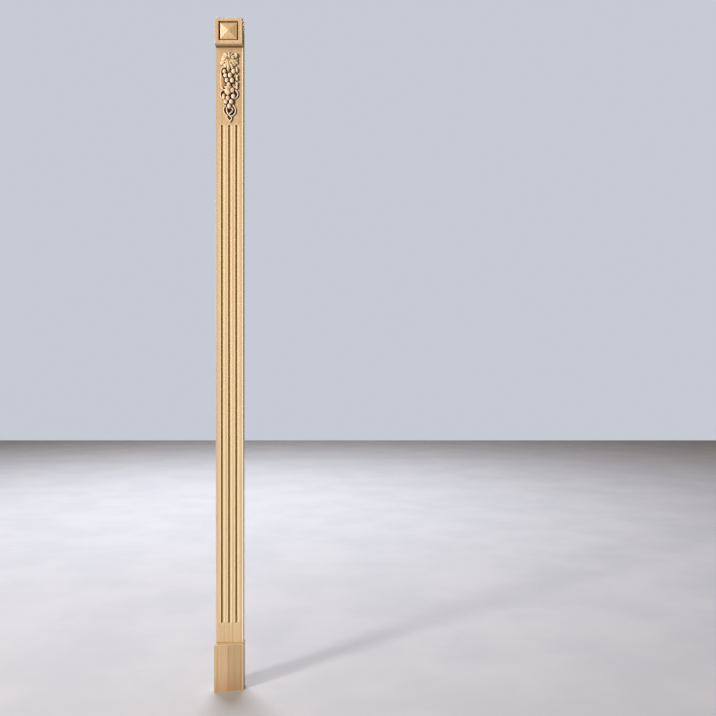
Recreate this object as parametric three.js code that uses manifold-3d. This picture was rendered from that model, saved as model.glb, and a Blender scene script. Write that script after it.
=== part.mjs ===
// Carved pilaster in solid timber, the left-hand one of a mirrored pair: a plinth block, a fluted shaft,
// a capital block with a pyramid boss sunk in its face, and a grape-and-vine carving on the shaft.
// Millimetres, +Z up, the front towards -Y. The back lies in the plane Y = 0, and the origin is the
// centre of the shaft's back face.

import * as THREE from "three";
import { mergeVertices } from "three/addons/utils/BufferGeometryUtils.js";
import Module from "manifold-3d";

const wasm = await Module();
wasm.setup();

// Sizes of the shaft
const SHAFT_WIDTH = 100;
const SHAFT_THICKNESS = 30;
const SHAFT_LENGTH = 2162;
const FLUTE_COUNT = 3;
const FLUTE_RADIUS = 5;
const FLUTE_PITCH = 26;
const FLUTE_FOOT_MARGIN = 69; // plain timber below the flutes
const FLUTE_HEAD_MARGIN = 280; // plain timber above them, where the carving sits

// Sizes of the plinth block
const PLINTH_HEIGHT = 166;
const PLINTH_OVERHANG = 2; // past each side of the shaft
const PLINTH_PROJECTION = 28; // flat front, in front of the shaft's face
const PLINTH_FLAT_WIDTH = 47.5; // the flat outer part of the front
const PLINTH_SPLAY = 12; // how far the slanted inner part falls back

// Sizes of the capital block and its boss
const CAPITAL_FACE_HEIGHT = 95;
const CAPITAL_UNDERCUT = 4; // rise of the underside from the shaft to the front
const CAPITAL_PROJECTION = 28;
const RECESS_BORDER = 14.5; // timber left beside the recess
const RECESS_RAIL = 13; // timber left above and below it
const RECESS_DEPTH = 9;
const BOSS_MARGIN = 5; // shadow gap round the boss
const BOSS_EDGE = 3; // upright edge below the slopes
const BOSS_RISE = 10;

// Sizes of the carving
const CARVING_HEIGHT = 256;
const CARVING_DROP = 148; // from the head of the shaft down to the middle of the carving
const CARVING_DEPTH = 13; // from its back to the top of the highest grape
const STRAND_RADIUS = 2.2; // tendrils

// Fits and edges
const JOINT_GAP = 0.3; // between two pieces that meet
const ARRIS = 1.5; // rounding of the long front edges
const ARRIS_STEPS = 3;

// Places that follow from the sizes
const SHAFT_FOOT = -SHAFT_LENGTH / 2;
const SHAFT_HEAD = SHAFT_LENGTH / 2;
const CAPITAL_FOOT = SHAFT_HEAD + JOINT_GAP;
const CAPITAL_HEIGHT = CAPITAL_UNDERCUT + CAPITAL_FACE_HEIGHT;
const CAPITAL_FRONT = SHAFT_THICKNESS + CAPITAL_PROJECTION;
const RECESS_WIDTH = SHAFT_WIDTH - 2 * RECESS_BORDER;
const RECESS_HEIGHT = CAPITAL_FACE_HEIGHT - 2 * RECESS_RAIL;
const RECESS_CENTRE = CAPITAL_FOOT + CAPITAL_UNDERCUT + CAPITAL_FACE_HEIGHT / 2;

// The carving's places and widths are shares of its height, and its rises are shares of its depth
const SHARE = CARVING_HEIGHT / 64;
const GRAPE_RADIUS = 1.85;
const GRAPE_LIFT = 2.2; // centre of a grape on the middle line, above the carving's back
const RISE = CARVING_DEPTH / (GRAPE_LIFT + GRAPE_RADIUS);
const GRAPE_SEGMENTS = 10;
const GRAPE_RINGS = 7;
const LEAF_SEGMENTS = 72;
const RIB_SPREAD = 16; // degrees on each side of a leaf's rib
const GROUND_RISE = 0.4;
const BED_CORNERS = 4; // 2 makes a leaf bed an ellipse, and more makes it squarer
const STRAND_QUARTERS = 3; // half as many sides as a strand has
const STRAND_STEPS = 4; // from one point of a strand to the next

// Turns a closed geometry into a solid that can be joined and cut.
function solidOf(geometry) {
  const bare = geometry.clone();
  bare.deleteAttribute("normal");
  bare.deleteAttribute("uv");
  const merged = mergeVertices(bare, 1e-3);
  return new wasm.Manifold(
    new wasm.Mesh({
      numProp: 3,
      vertProperties: merged.getAttribute("position").array,
      triVerts: new Uint32Array(merged.index.array),
    }),
  );
}

// Turns a solid back into a geometry.
function geometryOf(solid) {
  const mesh = solid.getMesh();
  const geometry = new THREE.BufferGeometry();
  geometry.setAttribute("position", new THREE.BufferAttribute(mesh.vertProperties, 3));
  geometry.setIndex(new THREE.BufferAttribute(mesh.triVerts, 1));
  geometry.computeVertexNormals();
  return geometry;
}

// Joins a list of geometries into one solid.
function joined(geometries) {
  return geometries.map(solidOf).reduce((whole, next) => whole.add(next));
}

// A closed outline through corner points, with the named corners rounded to a radius.
function roundedOutline(corners, rounded, radius) {
  const shape = new THREE.Shape();
  corners.forEach((corner, i) => {
    const here = new THREE.Vector2(...corner);
    if (!rounded.includes(i)) {
      if (i === 0) shape.moveTo(here.x, here.y);
      else shape.lineTo(here.x, here.y);
      return;
    }
    const before = new THREE.Vector2(...corners[(i + corners.length - 1) % corners.length]);
    const after = new THREE.Vector2(...corners[(i + 1) % corners.length]);
    const start = here.clone().add(before.sub(here).setLength(radius));
    const end = here.clone().add(after.sub(here).setLength(radius));
    shape.lineTo(start.x, start.y);
    shape.quadraticCurveTo(here.x, here.y, end.x, end.y);
  });
  shape.closePath();
  return shape;
}

// Carries a form from the carving's plane (right, up, outwards) to the row's axes (X, Z, -Y).
function stoodUpright(geometry) {
  const right = new THREE.Vector3(1, 0, 0);
  const up = new THREE.Vector3(0, 0, 1);
  const outwards = new THREE.Vector3(0, -1, 0);
  return geometry.applyMatrix4(new THREE.Matrix4().makeBasis(right, up, outwards));
}

// Plinth block: its front is flat on the outer side and slants back on the inner side.
function plinthBlock() {
  const half = SHAFT_WIDTH / 2 + PLINTH_OVERHANG;
  const front = SHAFT_THICKNESS + PLINTH_PROJECTION;
  const corners = [
    [-half, 0],
    [-half, -front],
    [-half + PLINTH_FLAT_WIDTH, -front],
    [half, -(front - PLINTH_SPLAY)],
    [half, 0],
  ];
  const outline = roundedOutline(corners, [1, 3], ARRIS);
  return new THREE.ExtrudeGeometry(outline, {
    depth: PLINTH_HEIGHT,
    bevelEnabled: false,
    curveSegments: ARRIS_STEPS,
  });
}

// Fluted shaft: a board with round-bottomed flutes that stop short of both ends.
function flutedShaft() {
  const half = SHAFT_WIDTH / 2;
  const corners = [
    [-half, 0],
    [-half, -SHAFT_THICKNESS],
    [half, -SHAFT_THICKNESS],
    [half, 0],
  ];
  const board = new THREE.ExtrudeGeometry(roundedOutline(corners, [1, 2], ARRIS), {
    depth: SHAFT_LENGTH,
    bevelEnabled: false,
    curveSegments: ARRIS_STEPS,
  }).translate(0, 0, SHAFT_FOOT);
  const fluteFoot = SHAFT_FOOT + FLUTE_FOOT_MARGIN;
  const fluteHead = SHAFT_HEAD - FLUTE_HEAD_MARGIN;
  const straight = fluteHead - fluteFoot - 2 * FLUTE_RADIUS;
  let shaft = solidOf(board);
  for (let i = 0; i < FLUTE_COUNT; i++) {
    const across = (i - (FLUTE_COUNT - 1) / 2) * FLUTE_PITCH;
    const cutter = new THREE.CapsuleGeometry(FLUTE_RADIUS, straight, 4, 20)
      .rotateX(Math.PI / 2)
      .translate(across, -SHAFT_THICKNESS, (fluteFoot + fluteHead) / 2);
    shaft = shaft.subtract(solidOf(cutter));
  }
  return geometryOf(shaft);
}

// Capital block: its underside rises a little towards the front, and a square recess is sunk in its face.
function capitalBlock() {
  const profile = [
    [0, 0],
    [SHAFT_THICKNESS, 0],
    [CAPITAL_FRONT, CAPITAL_UNDERCUT],
    [CAPITAL_FRONT, CAPITAL_HEIGHT],
    [0, CAPITAL_HEIGHT],
  ];
  const outline = roundedOutline(profile, [2, 3], ARRIS);
  const toRow = new THREE.Matrix4().makeBasis(
    new THREE.Vector3(0, -1, 0),
    new THREE.Vector3(0, 0, 1),
    new THREE.Vector3(-1, 0, 0),
  );
  const block = new THREE.ExtrudeGeometry(outline, {
    depth: SHAFT_WIDTH,
    bevelEnabled: false,
    curveSegments: ARRIS_STEPS,
  })
    .applyMatrix4(toRow)
    .translate(SHAFT_WIDTH / 2, 0, CAPITAL_FOOT);
  const recess = new THREE.BoxGeometry(RECESS_WIDTH, 2 * RECESS_DEPTH, RECESS_HEIGHT).translate(
    0,
    -CAPITAL_FRONT,
    RECESS_CENTRE,
  );
  return geometryOf(solidOf(block).subtract(solidOf(recess)));
}

// Pyramid boss: a four-sided point on a short upright edge, seated on the floor of the recess.
function pyramidBoss() {
  const profile = [
    new THREE.Vector2(0, 0),
    new THREE.Vector2(Math.SQRT1_2, 0),
    new THREE.Vector2(Math.SQRT1_2, BOSS_EDGE),
    new THREE.Vector2(0, BOSS_EDGE + BOSS_RISE),
  ];
  return new THREE.LatheGeometry(profile, 4, Math.PI / 4)
    .rotateX(Math.PI)
    .scale(RECESS_WIDTH - 2 * BOSS_MARGIN, 1, RECESS_HEIGHT - 2 * BOSS_MARGIN);
}

// Distance from a leaf's stalk end to its edge: rounded lobes, each with a notch on the way to the next.
function lobedEdge(lobes, angle) {
  const count = lobes.length;
  const turn = THREE.MathUtils.euclideanModulo(angle - lobes[0].at, 360);
  let i = 0;
  while (i < count - 1 && turn >= lobes[i + 1].at - lobes[0].at) i++;
  const from = lobes[i].at - lobes[0].at;
  const to = i === count - 1 ? 360 : lobes[i + 1].at - lobes[0].at;
  const share = (turn - from) / (to - from);
  const reach = THREE.MathUtils.lerp(lobes[i].reach, lobes[(i + 1) % count].reach, share);
  return reach * (1 - lobes[i].notch * Math.sin(Math.PI * share) ** 2);
}

// Nearness to a rib, 1 on the line of a lobe that has one and 0 from a set angle away.
function ribNearness(lobes, angle) {
  const away = lobes
    .filter(({ ribbed }) => ribbed)
    .map(({ at }) => Math.abs(THREE.MathUtils.euclideanModulo(angle - at + 180, 360) - 180));
  return Math.max(0, 1 - Math.min(...away) / RIB_SPREAD);
}

// Reverses a geometry's faces, because laying a form out with Y flipped turns it inside out.
function turnedOut(geometry) {
  const index = geometry.getIndex();
  for (let i = 0; i < index.count; i += 3) {
    const second = index.getX(i + 1);
    index.setX(i + 1, index.getX(i + 2));
    index.setX(i + 2, second);
  }
  return geometry;
}

// A flat-backed form laid round a centre, ring by ring: edgeAt gives its reach at an angle in degrees,
// and riseAt its rise at a ring (0 in the middle, 1 on the edge) and an angle.
function laidRound({ centre, rings, edgeAt, riseAt }) {
  const profile = [new THREE.Vector2(0, 0), new THREE.Vector2(1, 0)];
  [...rings, 0].forEach((ring) => profile.push(new THREE.Vector2(ring, 1)));
  const form = new THREE.LatheGeometry(profile, LEAF_SEGMENTS).rotateX(Math.PI / 2);
  const position = form.getAttribute("position");
  for (let i = 0; i < position.count; i++) {
    const x = position.getX(i);
    const y = -position.getY(i);
    const onTop = position.getZ(i) > 0.5;
    const angle = THREE.MathUtils.radToDeg(Math.atan2(y, x));
    const edge = edgeAt(angle);
    position.setXYZ(
      i,
      (centre[0] + x * edge) * SHARE,
      (centre[1] + y * edge) * SHARE,
      onTop ? riseAt(Math.hypot(x, y), angle) * RISE : 0,
    );
  }
  return turnedOut(form);
}

// Vine leaf: it swells between its stalk end and its edge, and a rib is sunk along its chief lobes.
function vineLeaf({ centre, lobes, heel, rim, swell, ribDepth }) {
  return laidRound({
    centre,
    rings: [1, 0.85, 0.65, 0.42, 0.2],
    edgeAt: (angle) => lobedEdge(lobes, angle),
    riseAt: (ring, angle) => {
      const rib = ring < 1 ? ribDepth * ribNearness(lobes, angle) : 0;
      return THREE.MathUtils.lerp(heel, rim, ring) + (swell - rib) * Math.sin(Math.PI * ring);
    },
  });
}

// Leaf bed: the low dished leaf behind a bunch, with a wavy raised rim.
function leafBed({ centre, half, floor, rim, waves, waviness }) {
  return laidRound({
    centre,
    rings: [1, 0.86, 0.7],
    edgeAt: (angle) => {
      const turn = THREE.MathUtils.degToRad(angle);
      const across = Math.abs(Math.cos(turn) / half[0]) ** BED_CORNERS;
      const along = Math.abs(Math.sin(turn) / half[1]) ** BED_CORNERS;
      return (across + along) ** (-1 / BED_CORNERS) * (1 + waviness * Math.cos(waves * turn));
    },
    riseAt: (ring) => (ring > 0.8 ? rim : floor),
  });
}

// A grape, or a longer bud: a ball stretched upwards, leaning by an angle.
function berry({ at, radius, stretch = 1, lean = 0, lift }) {
  return new THREE.SphereGeometry(radius, GRAPE_SEGMENTS, GRAPE_RINGS)
    .scale(SHARE, stretch * SHARE, RISE)
    .rotateZ(THREE.MathUtils.degToRad(lean))
    .translate(at[0] * SHARE, at[1] * SHARE, lift * RISE);
}

// A tendril: a round strand along a smooth curve through points of the carving's plane.
function tendril(points, lift) {
  const curve = new THREE.CatmullRomCurve3(
    points.map(([u, v]) => new THREE.Vector3(u * SHARE, v * SHARE, lift * RISE)),
  );
  const section = new THREE.Shape().absarc(0, 0, STRAND_RADIUS, 0, 2 * Math.PI);
  return new THREE.ExtrudeGeometry(section, {
    steps: STRAND_STEPS * (points.length - 1),
    curveSegments: STRAND_QUARTERS,
    extrudePath: curve,
    bevelEnabled: false,
  });
}

// The thin ground that closes the openings between strands, inside an outline.
function groundPlate(points) {
  const outline = new THREE.Shape(points.map(([u, v]) => new THREE.Vector2(u * SHARE, v * SHARE)));
  return new THREE.ExtrudeGeometry(outline, { depth: GROUND_RISE * RISE, bevelEnabled: false });
}

// Points of a side loop that bows out from the middle line and comes back, on the left or the right.
function loopPoints(side) {
  const middle = [side * 3.2 - 0.3, -5.8];
  const half = [4.8, 4.4];
  const widest = 78;
  const steps = 6;
  return Array.from({ length: steps + 1 }, (_, i) => {
    const angle = THREE.MathUtils.degToRad(widest - (2 * widest * i) / steps);
    return [middle[0] + side * half[0] * Math.cos(angle), middle[1] + half[1] * Math.sin(angle)];
  });
}

// The grapes, row by row down the two bunches: height of the row and places across it.
const GRAPE_ROWS = [
  { v: 15, u: [-4.5, 3.8] },
  { v: 11.3, u: [-3.6, 0.7] },
  { v: 6.8, u: [-2.3, 2.5] },
  { v: 2.6, u: [-0.5] },
  { v: -7.7, u: [3.6] },
  { v: -9.4, u: [-1.3] },
  { v: -12.7, u: [-3.2, 1.7] },
  { v: -16.6, u: [-0.1] },
];
const GRAPE_FALL = 0.04; // how much lower a grape lies away from the middle line
const GRAPE_STRETCH = 1.2;

// The buds: four down the right-hand edge of the upper bunch, and a long one in the left-hand loop.
const BUDS = [
  { at: [6.8, 16.2], radius: 1.1, stretch: 2.3, lean: 10 },
  { at: [6.8, 9.4], radius: 1.1, stretch: 2.1, lean: -4 },
  { at: [6.8, 3.5], radius: 1.25, stretch: 1.4 },
  { at: [6.6, 0.5], radius: 1.15, stretch: 1.5 },
  { at: [-5.1, -7.6], radius: 1.4, stretch: 1.7 },
];
const BUD_LIFT = 1.3;

// The two strands that end the carving, each crossing to the other side, and the curls between them.
const TAIL_STRANDS = [
  [[-3.4, -15.6], [-5, -18.4], [-5.1, -21.4], [-3.8, -24.1], [-2.1, -26.6], [-0.8, -28.9], [0.7, -30.8]],
  [
    [-1.3, -16.5], [-2.4, -18.8], [-2.2, -21.4], [-0.8, -23.9],
    [0.8, -25.5], [2, -27.2], [1.5, -29], [0.2, -30.5],
  ],
  [[3.2, -15.4], [5.1, -18.1], [5.5, -21], [4.8, -23.4], [3.1, -25], [1.2, -25.6]],
  [[-0.2, -23.9], [1.1, -22.6], [2.4, -21.2], [3, -19.5], [2, -18.1]],
];
const TAIL_LIFTS = [1, 1.4, 1, 1.3];
const [TAIL_LEFT, TAIL_CROSSING, TAIL_RIGHT] = TAIL_STRANDS;
const TAIL_OUTLINE = [
  ...TAIL_LEFT,
  ...[...TAIL_RIGHT.slice(0, -1), ...TAIL_CROSSING.slice(-3, -1)].reverse(), // up the right-hand side
];

// The leaf that crowns the carving hangs by its stalk, so its lobes are laid round a point near its top.
const TOP_LEAF = {
  centre: [0.1, 27.7],
  lobes: [
    { at: 18, reach: 7.4, notch: 0.6, ribbed: true },
    { at: 50, reach: 4.6, notch: 0.45 },
    { at: 97, reach: 4.2, notch: 0.4 },
    { at: 141, reach: 5.9, notch: 0.08 },
    { at: 184, reach: 7.4, notch: 0.12, ribbed: true },
    { at: 216, reach: 10.8, notch: 0.12, ribbed: true },
    { at: 243, reach: 10, notch: 0.16 },
    { at: 264, reach: 13.2, notch: 0.2, ribbed: true },
    { at: 286, reach: 11.4, notch: 0.16 },
    { at: 305, reach: 9.4, notch: 0.1 },
    { at: 323, reach: 9.8, notch: 0.08, ribbed: true },
    { at: 348, reach: 7.7, notch: 0.3 },
  ],
  heel: 2.1,
  rim: 1.4,
  swell: 1.6,
  ribDepth: 0.7,
};
const TOP_CURL = { at: [6, 28.9], radius: 1.6, stretch: 1.3, lift: 1.9 };

// The leaf between the two bunches.
const MIDDLE_LEAF = {
  centre: [0.3, -0.4],
  lobes: [
    { at: 45, reach: 2.4, notch: 0.05 },
    { at: 105, reach: 2.7, notch: 0.2 },
    { at: 165, reach: 5.4, notch: 0.3 },
    { at: 199, reach: 5.6, notch: 0.08 },
    { at: 226, reach: 6.1, notch: 0.04 },
    { at: 255, reach: 7, notch: 0.08, ribbed: true },
    { at: 288, reach: 4.9, notch: 0.1 },
    { at: 328, reach: 4.4, notch: 0.14, ribbed: true },
  ],
  heel: 2.4,
  rim: 1.9,
  swell: 1.4,
  ribDepth: 0.5,
};

const LEAF_BEDS = [
  { centre: [-1.2, 9], half: [7.4, 11], floor: 0.9, rim: 1.4, waves: 9, waviness: 0.03 },
  { centre: [-0.7, -11.5], half: [4.8, 6.5], floor: 1.1, rim: 1.2, waves: 7, waviness: 0.03 },
];
const LOOP_LIFT = 1.1;

// Grape-and-vine carving: leaves, bunches, buds and tendrils joined in one piece with a flat back.
function grapeCarving() {
  const grapes = GRAPE_ROWS.flatMap(({ v, u }) =>
    u.map((across) => {
      const lift = GRAPE_LIFT - GRAPE_FALL * (across + 0.5) ** 2;
      return berry({ at: [across, v], radius: GRAPE_RADIUS, stretch: GRAPE_STRETCH, lift });
    }),
  );
  const forms = [
    ...LEAF_BEDS.map(leafBed),
    vineLeaf(TOP_LEAF),
    berry(TOP_CURL),
    vineLeaf(MIDDLE_LEAF),
    ...grapes,
    ...BUDS.map((bud) => berry({ ...bud, lift: BUD_LIFT })),
    groundPlate([...loopPoints(1), ...loopPoints(-1).reverse()]),
    groundPlate(TAIL_OUTLINE),
    ...[-1, 1].map((side) => tendril(loopPoints(side), LOOP_LIFT)),
    ...TAIL_STRANDS.map((points, i) => tendril(points, TAIL_LIFTS[i])),
  ];
  const abovePlane = new THREE.BoxGeometry(CARVING_HEIGHT, 2 * CARVING_HEIGHT, 2 * CARVING_DEPTH).translate(
    0,
    0,
    CARVING_DEPTH,
  );
  return stoodUpright(geometryOf(joined(forms).intersect(solidOf(abovePlane))));
}

// A mesh with its own timber finish.
function piece(name, geometry, color, roughness) {
  const material = new THREE.MeshStandardMaterial({ color, roughness, metalness: 0 });
  const mesh = new THREE.Mesh(geometry, material);
  mesh.name = name;
  return mesh;
}

const pilaster = new THREE.Group();

const plinth = piece("plinth_block", plinthBlock(), 0xd2ad7c, 0.5);
plinth.position.z = SHAFT_FOOT - JOINT_GAP - PLINTH_HEIGHT;
pilaster.add(plinth);

pilaster.add(piece("fluted_shaft", flutedShaft(), 0xdab98c, 0.5));
pilaster.add(piece("capital_block", capitalBlock(), 0xd8b688, 0.5));

const boss = piece("pyramid_boss", pyramidBoss(), 0xdcba8a, 0.45);
boss.position.set(0, -(CAPITAL_FRONT - RECESS_DEPTH + JOINT_GAP), RECESS_CENTRE);
pilaster.add(boss);

const carving = piece("grape_carving", grapeCarving(), 0xe8cfa8, 0.5);
carving.position.set(0, -(SHAFT_THICKNESS + JOINT_GAP), SHAFT_HEAD - CARVING_DROP);
pilaster.add(carving);

export default pilaster;
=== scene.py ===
"""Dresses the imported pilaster: lacquered oak boards, a carved lime applique, and a plain pale studio.

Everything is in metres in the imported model's frame: +Z up, the front towards -Y, and the origin at the
centre of the shaft's back face. Sizes are typed in millimetres and turned to metres where meshes are made.
"""

import logging
import math
from collections.abc import Callable
from dataclasses import dataclass
from enum import Enum

import bmesh
import bpy
import numpy as np
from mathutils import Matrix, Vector


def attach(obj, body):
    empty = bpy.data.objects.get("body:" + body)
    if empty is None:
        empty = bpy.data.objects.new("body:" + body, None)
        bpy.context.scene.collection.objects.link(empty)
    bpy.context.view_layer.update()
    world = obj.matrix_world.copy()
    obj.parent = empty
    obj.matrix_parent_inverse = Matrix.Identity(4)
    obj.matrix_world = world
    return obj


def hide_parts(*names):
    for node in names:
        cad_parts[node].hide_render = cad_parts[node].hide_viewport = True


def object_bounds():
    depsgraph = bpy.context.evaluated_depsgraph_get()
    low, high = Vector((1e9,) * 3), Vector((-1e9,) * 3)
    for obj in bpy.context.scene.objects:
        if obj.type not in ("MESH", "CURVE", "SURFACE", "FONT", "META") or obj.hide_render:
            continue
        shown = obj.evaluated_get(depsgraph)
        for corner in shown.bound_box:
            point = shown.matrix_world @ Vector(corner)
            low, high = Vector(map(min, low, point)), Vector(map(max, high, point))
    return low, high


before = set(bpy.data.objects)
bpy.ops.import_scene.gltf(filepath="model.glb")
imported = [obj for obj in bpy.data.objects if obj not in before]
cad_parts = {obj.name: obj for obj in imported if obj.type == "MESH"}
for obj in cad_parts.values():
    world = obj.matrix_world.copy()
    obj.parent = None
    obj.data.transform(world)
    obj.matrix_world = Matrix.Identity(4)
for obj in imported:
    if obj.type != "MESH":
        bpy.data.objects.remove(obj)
PACKED_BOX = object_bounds()

MM = 0.001
# Distance from a rounded edge to the extra point that keeps the flat beside it flat, in millimetres.
SUPPORT = 0.4
# Angles at which an eased edge has points, in radians.
EASED = (0.5, 1.0, math.pi / 2)
# Height of the carving's relief where it has no form, in shares: far below its back.
OUTSIDE = -9.0
# Values stored on the points: how dark painted shade makes each (on the carving, glaze too),
# and how pale a painted highlight makes it (on the carving, where the glaze is wiped off).
LAYERS = ("dark_layer", "pale_layer")
BODY = "root"
LOG = logging.getLogger("pilaster")

Tree = bpy.types.NodeTree
Socket = bpy.types.NodeSocket
Point = tuple[float, float]
Pair = tuple[float, float]
Place = tuple[float, float, float]
Loop = list[Place]
Field = np.ndarray


class Timber(Enum):
    """The record's material slots, one for each timber."""

    BOARDS = "board_timber"
    CARVING = "carved_timber"


# Nodes and colours


@dataclass(frozen=True)
class Follow:
    """An input that follows a value smoothly from one end to the other, and goes past neither."""

    value: Socket
    low: float
    high: float
    at_low: float = 0.0
    at_high: float = 1.0


def linear(colour: str) -> tuple[float, float, float, float]:
    """Turns an sRGB colour into the linear one that shaders take.

    Args:
        colour: Six hexadecimal digits, red first.

    Returns:
        Linear red, green and blue, and a full alpha.
    """
    parts = [int(colour[i : i + 2], 16) / 255 for i in (0, 2, 4)]
    red, green, blue = (p / 12.92 if p <= 0.04045 else ((p + 0.055) / 1.055) ** 2.4 for p in parts)
    return red, green, blue, 1.0


def add_node(
    tree: Tree, kind: str, inputs: dict[str | int, object] | None = None, **settings: object
) -> bpy.types.Node:
    """Adds a node, sets its options, and fills or links its inputs.

    Args:
        tree: The node tree that takes it.
        kind: The node's type name.
        inputs: Value, output socket or Follow for each input, by its name or place.
        **settings: Options of the node itself.

    Returns:
        The new node.
    """
    node = tree.nodes.new(kind)
    for name, value in settings.items():
        setattr(node, name, value)
    for key, value in (inputs or {}).items():
        if isinstance(value, Follow):
            followed = {"Value": value.value, "From Min": value.low, "From Max": value.high}
            followed |= {"To Min": value.at_low, "To Max": value.at_high}
            value = add_node(tree, "ShaderNodeMapRange", followed, interpolation_type="SMOOTHSTEP").outputs[0]
        if isinstance(value, bpy.types.NodeSocket):
            tree.links.new(value, node.inputs[key])
        else:
            node.inputs[key].default_value = value
    return node


def new_material(name: str) -> tuple[bpy.types.Material, Tree, Socket]:
    """Starts an empty node material.

    Args:
        name: The material's name.

    Returns:
        The material, its node tree, and the surface's place in metres.
    """
    material = bpy.data.materials.new(name)
    material.use_nodes = True
    tree = material.node_tree
    tree.nodes.clear()
    return material, tree, add_node(tree, "ShaderNodeTexCoord").outputs["Object"]


def mottled(tree: Tree, place: Socket, across: float, along: float, detail: float = 2.0) -> Socket:
    """Gives a mottling whose blotches have a real size across and along the upright fibres.

    Args:
        tree: The node tree that takes the nodes.
        place: The surface's place, in metres.
        across: Size of a blotch across the fibres, in millimetres.
        along: Its size along them.
        detail: Octaves of finer mottling on top.

    Returns:
        The mottling's value, about 0.5 on average.
    """
    scale = (1 / (across * MM), 1 / (across * MM), 1 / (along * MM))
    mapped = add_node(tree, "ShaderNodeMapping", {"Vector": place, "Scale": scale})
    inputs = {"Vector": mapped.outputs[0], "Scale": 1.0, "Detail": detail, "Roughness": 0.55}
    return add_node(tree, "ShaderNodeTexNoise", inputs).outputs["Fac"]


def layered(tree: Tree, ground: str, layers: list[tuple[Socket | Follow, str]]) -> Socket:
    """Lays colours over one another.

    Args:
        tree: The node tree that takes the nodes.
        ground: The colour underneath.
        layers: How much of each layer shows, from 0 to 1, and its colour, the lowest layer first.

    Returns:
        The colour that shows.
    """
    shown = linear(ground)
    for amount, colour in layers:
        laid = add_node(tree, "ShaderNodeMix", {0: amount, 6: shown, 7: linear(colour)}, data_type="RGBA")
        shown = laid.outputs[2]
    return shown


def finish_surface(tree: Tree, inputs: dict[str | int, object]) -> None:
    """Adds the surface shader and the material's output.

    Args:
        tree: The node tree that takes them.
        inputs: Value, output socket or Follow for the surface shader's inputs.
    """
    surface = add_node(tree, "ShaderNodeBsdfPrincipled", inputs)
    add_node(tree, "ShaderNodeOutputMaterial", {"Surface": surface.outputs[0]})


# Finishes


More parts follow.
